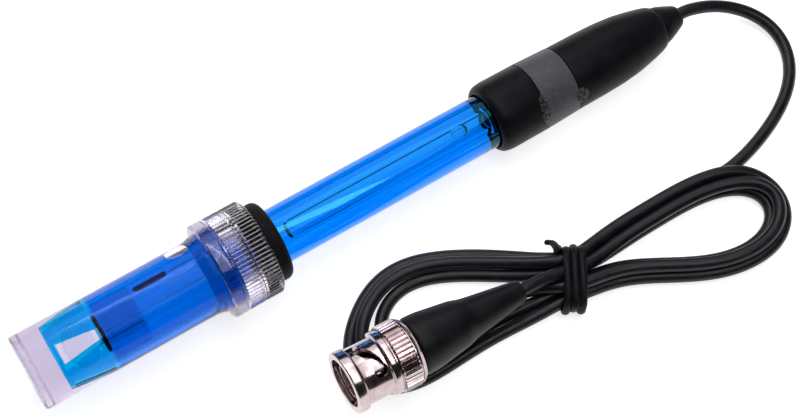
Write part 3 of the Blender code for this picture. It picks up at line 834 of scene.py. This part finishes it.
def build_bottle():
    """Bottle, its liquid, the screw cap and the rubber gland. The bottle and the liquid share an air pocket."""
    pitch = thread_pitch()
    bore_r, base_inside = 7.1, -4.5
    pocket, pocket_turn, pocket_size = 30.9, -46, (2.7, 2.5, 0.9)
    thread_start, thread_end = 38.9, 42.9

    def thread(along, radius, angle):
        """A rounded ridge that winds round the neck."""
        if not thread_start < along < thread_end or radius < 8.4:
            return radius
        phase = ((along - 35.9) / pitch - angle / math.tau) % 1.0
        ends = min(1.0, (along - thread_start) / 0.6, (thread_end - along) / 0.6)
        return radius + 0.12 * ends * (0.5 + 0.5 * math.cos(math.tau * phase))

    def dry(along, angle):
        arc_length = bore_r * (angle - math.radians(pocket_turn))
        return math.hypot((along - pocket) / pocket_size[0], arc_length / pocket_size[1]) < 1

    neck = [(38.4 + 0.2 * k, 8.6) for k in range(24)]
    inner = [(34.4 - 0.4 * k, bore_r) for k in range(19)]
    mesh = turned_mesh("bottle", [
        (-6.1, 0), (-6.1, 8.1, 0.7), (base_inside, 8.1), (33.0, 8.1, 1.0), (34.6, 8.62, 0.4), *neck,
        (43.2, 8.6), (43.2, bore_r), *inner, (base_inside, bore_r, 0.8), (base_inside, 0),
    ], 192, thread)
    bottle = place("clear_bottle", mesh, "clear_plastic", "bottle", ["storage_bottle"], ELECTRODE)

    def bottle_face(along, radius, angle):
        if along < base_inside and radius > 7.0 or along < -6:
            return "clear_base"
        wetted = radius < 7.2 and along < 43.1 and not dry(along, angle)
        return "clear_wetted" if wetted else "clear_plastic"

    paint(bottle, bottle_face)

    liquid = turned("bottle_liquid", [
        (base_inside + HAIR, 0), (base_inside + HAIR, bore_r - HAIR, 0.8), (42.9, bore_r - HAIR),
        (42.9, TUBE_R + HAIR), (10.0, TUBE_R + HAIR, 1.0), (-HAIR, TIP_R + HAIR, 0.2), (-HAIR, 0),
    ], "liquid", "liquid", ["storage_solution"])
    carve(liquid, bubble_mesh(*pocket_size), ELECTRODE @ at(pocket, bore_r, pocket_turn))
    paint(liquid, lambda along, radius, angle:
          "liquid_surface" if abs(along - pocket) < 3.5 and 6.04 < radius < 7.06 else "solution")

    rib_count, rib_depth = 72, 0.42

    def ribs(along, radius, angle):
        if radius < 9.5 or not 38.8 < along < 46.6:
            return radius
        return radius - rib_depth * (1 - abs(math.sin(angle * rib_count / 2))) ** 0.9

    def cap_face(along, radius, angle):
        if along < 38.4:
            return "clear_flange"
        if 43.4 < along < 47.01 and radius < 9.05:
            return "clear_pressed"
        # the rib crests carry the painted highlight
        return "clear_crest" if 38.9 < along < 46.4 and radius > 10.37 else "clear_cap"

    cap = turned("ribbed_cap", [
        (35.5, 9.0), (35.5, 10.5, 0.35), (38.2, 10.5, 0.2), (38.4, 10.1), (38.8, 10.1), (38.95, 10.42),
        (42.2, 10.42), (42.3, 10.15), (42.6, 10.15), (42.7, 10.42), (46.3, 10.42), (46.8, 9.9), (47.0, 9.6, 0.1),
        (47.0, 7.9), (45.7, 7.9), (45.7, 9.0), (43.4, 9.0),
    ], "clear_cap", "cap", ["bottle_cap"], sides=rib_count * 8, shape=ribs)
    paint(cap, cap_face)
    turned("gland", [
        (43.5, 6.05), (43.5, 8.97, 0.1), (45.66, 8.97), (45.66, 7.87), (47.1, 7.87), (47.1, 8.6, 0.2),
        (47.8, 8.75, 0.4), (49.2, 8.72, 0.6), (50.1, 8.0, 0.5), (50.1, 6.05, 0.2),
    ], "rubber", "cap", ["rubber_gland"])


# ---- plug ----------------------------------------------------------------------------------------------------
def bayonet_slot(start_angle):
    """Cutter of the curved slot that ends in the round locking hole."""
    path = [(2.9 + 3.5 * math.sin(math.pi / 2 * t), 78 * t) for t in np.linspace(0, 1, 16)]
    sections = []
    for along, degrees in path:
        angle = start_angle + math.radians(degrees)
        sections.append([on_axis_point(along + side, radius, angle)
                         for side, radius in ((-1.2, 4.4), (1.2, 4.4), (1.2, 7.4), (-1.2, 7.4))])
    return swept_mesh("slot", sections)


def locking_hole(start_angle):
    """Cutter of a slot's round end, as a mesh and its place on the plug."""
    bm = bmesh.new()
    bmesh.ops.create_cone(bm, cap_ends=True, segments=32, radius1=1.5 * MM, radius2=1.5 * MM, depth=4 * MM)
    mesh = finished(bm, "hole")
    turn = Matrix.Rotation(start_angle + math.radians(78), 4, "X")
    return mesh, turn @ Matrix.Translation(Vector((6.4, 0, 6.0)) * MM)


def build_plug():
    """BNC plug: bayonet nut, contact body, insulator, pin, seal and boot."""
    knurl_count, knurl_depth = 46, 0.55

    def knurl(along, radius, angle):
        if not 10.25 < along < 13.9 or radius < 6.5:
            return radius
        wave = abs(math.sin(angle * knurl_count / 2))
        return radius - knurl_depth * (1 - min(1.0, wave * 1.55)) ** 0.8

    nut = turned("bayonet_nut", [
        (0, 5.15, 0.15), (0, 6.65, 0.35), (2.2, 6.65, 0.3), (2.45, 6.05, 0.15), (8.1, 6.05, 0.2),
        (8.4, 6.85, 0.2), (9.7, 6.85, 0.15), (9.85, 6.5), (10.1, 6.5), (10.15, 7.1), (10.35, 7.25),
        (13.8, 7.25), (14.0, 7.1),
        (14.05, 6.75), (14.25, 6.75), (14.4, 7.1, 0.2), (15.4, 6.35, 0.3), (15.4, 4.5), (13.9, 4.5), (13.9, 5.2),
        (2.6, 5.2),
    ], "nickel", "nut", ["bnc_coupling_nut"], PLUG, sides=knurl_count * 8, shape=knurl)
    for number in range(2):
        start = math.pi * number - math.radians(51)
        carve(nut, bayonet_slot(start), PLUG)
        hole, matrix = locking_hole(start)
        carve(nut, hole, PLUG @ matrix)
    turned("contact_body", [
        (1.0, 3.5, 0.1), (1.0, 3.9, 0.15), (1.4, 4.05), (10.2, 4.05), (10.2, 4.9, 0.2), (12.0, 4.9, 0.2),
        (12.0, 4.1), (17.2, 4.1), (17.2, 3.1), (11.6, 3.1), (11.6, 3.5),
    ], "nickel", "electrode", ["bnc_contact_body"], PLUG, sides=96)
    turned("insulator", [
        (4.0, 1.0, 0.15), (4.0, 3.2, 0.2), (11.3, 3.2), (11.3, 1.0),
    ], "insulator", "electrode", ["bnc_insulator"], PLUG, sides=64)
    turned("centre_pin", [
        (2.5, 0), (2.7, 0.35), (3.2, 0.6), (3.6, 0.68), (14.5, 0.68), (14.5, 0),
    ], "gold", "electrode", ["bnc_centre_pin"], PLUG, sides=48)
    turned("gasket", [
        (9.0, 4.1, 0.2), (9.0, 4.9, 0.2), (10.0, 4.9, 0.2), (10.0, 4.1, 0.2),
    ], "seal", "electrode", ["bnc_gasket"], PLUG, sides=64)
    turned("boot", [
        (26.5, 0), (26.5, 3.5), (17.5, 3.5), (17.5, 4.5), (15.6, 4.5), (15.6, 6.0, 0.3), (16.3, 6.25, 0.4),
        (19.0, 6.15, 1.0), (26.6, 5.0, 1.2), (28.6, 4.35, 0.8), (40.4, 2.55, 0.5), (BOOT_END, 2.3, 0.4),
        (BOOT_END, 0),
    ], "boot", "electrode", ["bnc_boot"], PLUG)


# ---- surroundings --------------------------------------------------------------------------------------------
def build_floor():
    """A pale table that glows a little, as a light table does, so that the shadows stay soft."""
    bm = bmesh.new()
    bmesh.ops.create_grid(bm, x_segments=1, y_segments=1, size=3.0)
    mesh = finished(bm, "floor")
    shader = Shader("pale_floor", (0.85, 0.85, 0.86), 0.9, Specular_IOR_Level=0.0)
    shader.set("Emission Color", (1.0, 1.0, 1.0, 1.0))
    shader.set("Emission Strength", 0.75)
    mesh.materials.append(shader.material)
    floor = bpy.data.objects.new("floor", mesh)
    floor.location.z = -0.0002
    bpy.context.collection.objects.link(floor)


def area_light(name, location, size, radiance):
    """A soft panel that faces the object."""
    data = bpy.data.lights.new(name, "AREA")
    data.shape = "RECTANGLE"
    data.size, data.size_y = size
    data.energy = radiance * math.pi * size[0] * size[1]
    light = bpy.data.objects.new(name, data)
    light.location = location
    light.rotation_mode = "QUATERNION"
    light.rotation_quaternion = (-Vector(location)).to_track_quat("-Z", "Y")
    bpy.context.collection.objects.link(light)


def build_light():
    """A nearly dark room with soft panels above and behind."""
    world = bpy.data.worlds.new("studio")
    bpy.context.scene.world = world
    world.use_nodes = True
    tree = world.node_tree
    coords = tree.nodes.new("ShaderNodeTexCoord")
    split = tree.nodes.new("ShaderNodeSeparateXYZ")
    ramp = tree.nodes.new("ShaderNodeValToRGB")
    stops = [(0.0, 0.03), (0.5, 0.02), (1.0, 0.04)]
    while len(ramp.color_ramp.elements) < len(stops):
        ramp.color_ramp.elements.new(0.5)
    for element, (height, grey) in zip(ramp.color_ramp.elements, stops):
        element.position = height
        element.color = (grey, grey, grey, 1)
    tree.links.new(coords.outputs["Generated"], split.inputs["Vector"])
    tree.links.new(split.outputs["Z"], ramp.inputs["Fac"])
    tree.links.new(ramp.outputs["Color"], tree.nodes["Background"].inputs["Color"])
    area_light("overhead_panel", (0.14, 0.0, 0.85), (1.3, 0.42), 1.7)
    area_light("overhead_strip", (0.14, 0.03, 0.80), (1.3, 0.05), 7.0)
    area_light("far_panel", (0.12, 0.56, 0.60), (1.3, 0.60), 1.2)


def finish_nodes():
    """CAD nodes that stay get their record slot's material."""
    slots = {part["node"]: part["material_slot"] for part in frame["record"]["subparts"]}
    for name, obj in frame["nodes"].items():
        obj.data.materials.clear()
        obj.data.materials.append(materials[slots[name]])


def main():
    scene = bpy.context.scene
    scene.view_settings.view_transform = "Standard"
    scene.cycles.max_bounces = 40
    scene.cycles.transmission_bounces = 40
    scene.cycles.transparent_max_bounces = 16
    add_camera()
    lead, nose, length = build_lead()
    tie = build_tie()
    build_tube()
    build_inside()
    build_head()
    build_glue()
    build_bottle()
    build_plug()
    finish_nodes()
    build_floor()
    build_light()


materials = make_materials()
for existing in [o for o in bpy.data.objects if o.type in ("LIGHT", "CAMERA")]:
    bpy.data.objects.remove(existing)
main()
